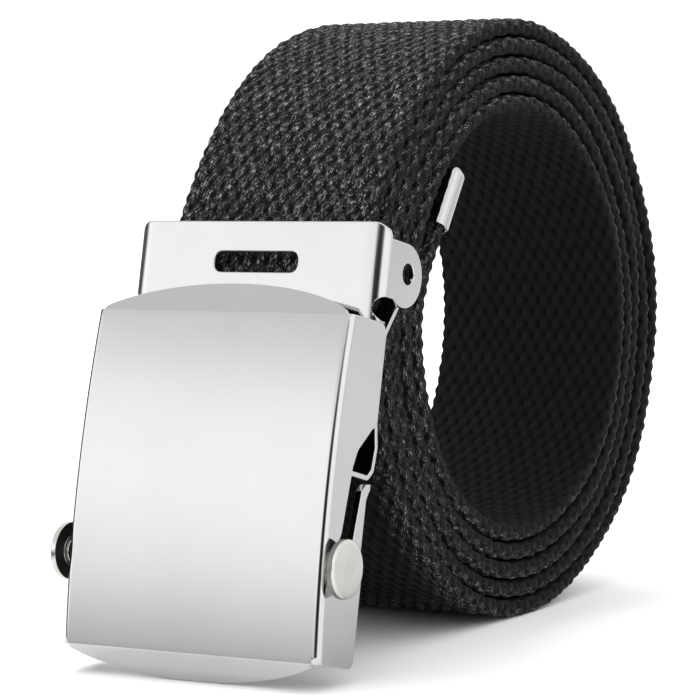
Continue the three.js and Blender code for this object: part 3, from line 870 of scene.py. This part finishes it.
class BELT_OT_back_plate(bpy.types.Operator):
    """Forms the thin plate behind the web, down to its lip"""
    bl_idname = "belt.back_plate"
    bl_label = "Back Plate"

    def execute(self, context):
        buckle = context.scene.belt_buckle
        middle = (BACK_FRONT + buckle.back_sheet / 2) / MM
        corners = [(middle + step, up, radius) for step, up, radius in BACK_ROUTE]
        inner = [corners[0][:2]]
        for i in range(1, len(corners) - 1):
            before, after = corners[i - 1][:2], corners[i + 1][:2]
            inner += rounded([(*before, 0), corners[i], (*after, 0)], 5)[1:-1]
        inner.append(corners[-1][:2])
        line = np.array(inner)
        way = np.gradient(line, axis=0)
        way /= np.linalg.norm(way, axis=1)[:, None]
        aside = np.stack([way[:, 1], -way[:, 0]], -1) * buckle.back_sheet / MM / 2
        outline = [tuple(p) for p in line + aside] + [tuple(p) for p in (line - aside)[::-1]]
        piece = object_from(prism(mm(outline), "x", -FLANGE_HALF, FLANGE_HALF), "rear_plate")
        clear = 17.85 * MM
        window = [(-clear, 25.4 * MM), (clear, 25.4 * MM), (clear, 34 * MM), (-clear, 34 * MM)]
        combine(piece, prism(window, "back", (middle - 6) * MM, (middle + 6) * MM))
        finish_metal(piece, 0.1 * MM, segments=2)
        self.paint_front_shade(piece)
        into_row(piece)
        give(piece, polished(), "buckle_steel", "belt", "back_plate")
        return {"FINISHED"}


    def paint_front_shade(self, piece):
        """Marks the side that looks into the buckle for painted shade."""
        marks = [float(face.normal.y < -0.7 and face.area > 1e-6) for face in piece.data.polygons]
        piece.data.attributes.new("inside", "FLOAT", "FACE").data.foreach_set("value", marks)


# ---------------------------------------------------------------- the roller

def turned(profile, segments):
    """A closed solid turned about the x axis from rows of (along, radius)."""
    bm = bmesh.new()
    verts = [bm.verts.new((along, radius, 0)) for along, radius in profile]
    edges = [bm.edges.new(pair) for pair in zip(verts, verts[1:])]
    bmesh.ops.spin(
        bm, geom=verts + edges, cent=(0, 0, 0), axis=(1, 0, 0), angle=2 * math.pi, steps=segments, use_merge=True)
    bmesh.ops.remove_doubles(bm, verts=bm.verts, dist=1e-7)
    bmesh.ops.recalc_face_normals(bm, faces=bm.faces)
    bmesh.ops.translate(bm, verts=bm.verts, vec=POCKET)
    return bm


class BELT_OT_roller(bpy.types.Operator):
    """Turns the roller's bar and its two flanged knobs"""
    bl_idname = "belt.roller"
    bl_label = "Roller"

    def execute(self, context):
        roller = context.scene.belt_roller
        half = context.scene.belt_buckle.shell_width / 2
        reach = half + 1.35 * MM
        bar = [(-reach, 0), (-reach, roller.bar_radius), (reach, roller.bar_radius), (reach, 0)]
        piece = object_from(turned(bar, roller.segments), "roller_rod")
        finish_metal(piece, 0.15 * MM)
        into_row(piece)
        give(piece, satin(), "roller_steel", "roller", "roller_bar")
        bore = roller.bar_radius + 0.3 * MM
        inside = half + 1.25 * MM
        outside = inside + 1.25 * MM
        radius = roller.knob_radius
        for name, node, side in (("roller_knob_right", "knob_right", 1), ("roller_knob_left", "knob_left", -1)):
            profile = [
                (reach + 0.3 * MM, 0), (reach + 0.3 * MM, bore), (half + 0.3 * MM, bore), (half + 0.3 * MM, 2.3 * MM),
                (inside, 2.3 * MM), (inside, radius), (outside - 0.32 * MM, radius),
                (outside - 0.12 * MM, radius - 0.5 * MM), (outside, 0),
            ]
            knob = object_from(turned([(side * along, r) for along, r in profile], roller.segments), name)
            finish_metal(knob, 0.16 * MM, limit=math.radians(18))
            # Painted shade through the inside mark: the left knob's face towards the wall in full, and the right knob's
            # rim side darker at 0.65 of it
            marks = [0.65 * (abs(face.normal.x) < 0.5) if side > 0 else float(face.normal.x > 0.7)
                     for face in knob.data.polygons]
            knob.data.attributes.new("inside", "FLOAT", "FACE").data.foreach_set("value", marks)
            into_row(knob)
            give(knob, satin(), "roller_steel", "roller", node)
        return {"FINISHED"}


# ---------------------------------------------------------------- the stage

# What the bowed face mirrors from low to high in front on the left, as rows of (sine of the elevation, brightness)
FRONT_PROFILE = [
    (-0.2, 0.5), (0.0, 0.56), (0.05, 0.75), (0.11, 1.07), (0.17, 1.26), (0.24, 1.37), (0.31, 1.35), (0.37, 1.3),
    (0.43, 1.05), (0.5, 0.8), (0.75, 0.9), (1.0, 0.8),
]

# Other patches of the surround: direction, full within this angle, none past this angle, brightness
SURROUND_PATCHES = [
    ((-0.575, -0.154, 0.804), 14, 34, 0.78),
    ((0.96, -0.25, 0.1), 24, 44, 1.3),
    ((-0.87, -0.49, 0.1), 6, 15, 1.5),
    ((0.51, -0.86, 0.12), 12, 30, 0.03),
    ((-0.95, 0.31, 0.12), 22, 38, 0.12),
]


class BELT_OT_stage(bpy.types.Operator):
    """Sets the pale floor, the studio light and the camera"""
    bl_idname = "belt.stage"
    bl_label = "Stage"

    def execute(self, context):
        studio = context.scene.belt_studio
        self.lay_floor(studio)
        self.surround(context, studio)
        self.hang_lights(studio)
        self.place_camera(context, studio)
        context.scene.view_settings.view_transform = "Standard"
        context.scene.view_settings.look = "None"
        return {"FINISHED"}

    def lay_floor(self, studio):
        """A pale floor. In the metal's reflections only, it is painted darker further off and in wedges, as a table
        looks past its lights: a painted reflection.
        """
        bm = bmesh.new()
        bmesh.ops.create_grid(bm, x_segments=1, y_segments=1, size=6)
        floor = object_from(bm, "studio_floor")
        shades = Shades("floor_paper")
        place = shades.add("ShaderNodeTexCoord").outputs["Object"]
        away = shades.add("ShaderNodeVectorMath", operation="SUBTRACT")
        shades.join(place, away.inputs[0])
        away.inputs[1].default_value = (0.022, -0.05, 0)
        heading = shades.add("ShaderNodeVectorMath", operation="NORMALIZE")
        shades.join(away.outputs[0], heading.inputs[0])
        distance = shades.add("ShaderNodeVectorMath", operation="LENGTH")
        shades.join(away.outputs[0], distance.inputs[0])
        far = shades.spread(distance.outputs["Value"], 0.06, 0.13)
        shade = shades.times(shades.nearness(heading.outputs[0], (0.567, 0.823, 0), 14, 34), 0.42)
        for direction, strength in (((-0.583, -0.812, 0), 0.94), ((-0.95, 0.31, 0), 0.88)):
            wedge = shades.times(shades.nearness(heading.outputs[0], direction, 28, 46), far)
            shade = shades.reckon("MAXIMUM", shade, shades.times(wedge, strength))
        mirrored = shades.add("ShaderNodeLightPath").outputs["Is Glossy Ray"]
        shade = shades.reckon("MAXIMUM", shade, 0.23)
        colour = shades.blend(shades.times(shade, mirrored), tuple(studio.floor), (0, 0, 0))
        shades.join(colour, shades.shader.inputs["Base Color"])
        shades.shader.inputs["Roughness"].default_value = 0.9
        shades.shader.inputs["Specular IOR Level"].default_value = 0.1
        floor.data.materials.append(shades.material)

    def surround(self, context, studio):
        """White all round, with a grey falloff low and high in front, and dark openings at the camera and far left."""
        world = bpy.data.worlds.new("studio_surround")
        context.scene.world = world
        shades = Shades("studio_surround", holder=world, shader="Background")
        way = shades.add("ShaderNodeTexCoord").outputs["Generated"]
        split = shades.add("ShaderNodeSeparateXYZ")
        shades.join(way, split.inputs[0])
        profile = shades.add("ShaderNodeValToRGB")
        ramp = profile.color_ramp
        ramp.interpolation = "B_SPLINE"
        while len(ramp.elements) < len(FRONT_PROFILE):
            ramp.elements.new(0.5)
        for element, (height, value) in zip(ramp.elements, FRONT_PROFILE):
            element.position = (height + 1) / 2
            element.color = (value / 2, value / 2, value / 2, 1)
        shades.join(shades.times(shades.plus(split.outputs["Z"], 1.0), 0.5), profile.inputs["Fac"])
        front = shades.times(profile.outputs["Color"], 2.0)
        level = 1.0
        sector = shades.nearness(way, (-0.563, -0.783, 0.25), 25, 70)
        level = shades.plus(shades.times(shades.plus(front, -level), sector), level)
        for direction, inner, outer, value in SURROUND_PATCHES:
            patch = shades.nearness(way, direction, inner, outer)
            level = shades.plus(level, shades.times(patch, shades.plus(shades.times(level, -1.0), value)))
        path = shades.add("ShaderNodeLightPath")
        level = shades.reckon("MAXIMUM", level, shades.times(path.outputs["Is Camera Ray"], 1.2))
        level = shades.times(level, shades.plus(shades.times(path.outputs["Is Diffuse Ray"], 0.42), 1.0))
        shades.join(shades.times(level, studio.surround), shades.shader.inputs["Strength"])
        shades.shader.inputs["Color"].default_value = (1, 1, 1, 1)

    def hang_lights(self, studio):
        rows = [
            ("overhead_light", (-0.45, 0.35, 1.2), 1.1, 0.9, studio.overhead),
        ]
        for name, place, width, depth, power in rows:
            light = bpy.data.lights.new(name, "AREA")
            light.shape = "RECTANGLE"
            light.size, light.size_y = width, depth
            light.energy = power
            lamp = bpy.data.objects.new(name, light)
            lamp.location = place
            lamp.rotation_euler = (Vector((0, 0, 0.04)) - Vector(place)).to_track_quat("-Z", "Y").to_euler()
            lamp.visible_glossy = False
            bpy.context.scene.collection.objects.link(lamp)

    def place_camera(self, context, studio):
        camera = bpy.data.cameras.new("photo_camera")
        camera.lens = studio.lens
        camera.sensor_width = 36
        camera.clip_start, camera.clip_end = 0.01, 50
        view = bpy.data.objects.new("photo_camera", camera)
        view.location = (0.266707, -0.441532, 0.08804)
        view.rotation_euler = (1.48557382, 0.02585529, 0.55464157)
        context.scene.collection.objects.link(view)
        context.scene.camera = view


class BELT_PT_parts(bpy.types.Panel):
    bl_label = "Canvas Web Belt"
    bl_idname = "BELT_PT_parts"
    bl_space_type = "VIEW_3D"
    bl_region_type = "UI"
    bl_category = "Belt"

    def draw(self, context):
        layout = self.layout
        for operator in OPERATORS:
            layout.operator(operator.bl_idname)
        for name in GROUPS:
            box = layout.box()
            settings = getattr(context.scene, name)
            for key in settings.__annotations__:
                box.prop(settings, key)


OPERATORS = (
    BELT_OT_stage, BELT_OT_web, BELT_OT_tip, BELT_OT_shell, BELT_OT_clamp, BELT_OT_back_plate, BELT_OT_roller,
)
GROUPS = {
    "belt_web": WebSettings,
    "belt_buckle": BuckleSettings,
    "belt_roller": RollerSettings,
    "belt_finish": FinishSettings,
    "belt_studio": StudioSettings,
}
CLASSES = (*GROUPS.values(), *OPERATORS, BELT_PT_parts)


def register():
    for cls in CLASSES:
        bpy.utils.register_class(cls)
    for name, group in GROUPS.items():
        setattr(bpy.types.Scene, name, PointerProperty(type=group))


def unregister():
    for name in GROUPS:
        delattr(bpy.types.Scene, name)
    for cls in reversed(CLASSES):
        bpy.utils.unregister_class(cls)


def main():
    register()
    bpy.ops.belt.stage()
    bpy.ops.belt.web()
    bpy.ops.belt.tip()
    bpy.ops.belt.shell()
    bpy.ops.belt.clamp()
    bpy.ops.belt.back_plate()
    bpy.ops.belt.roller()


if __name__ == "__main__":
    main()
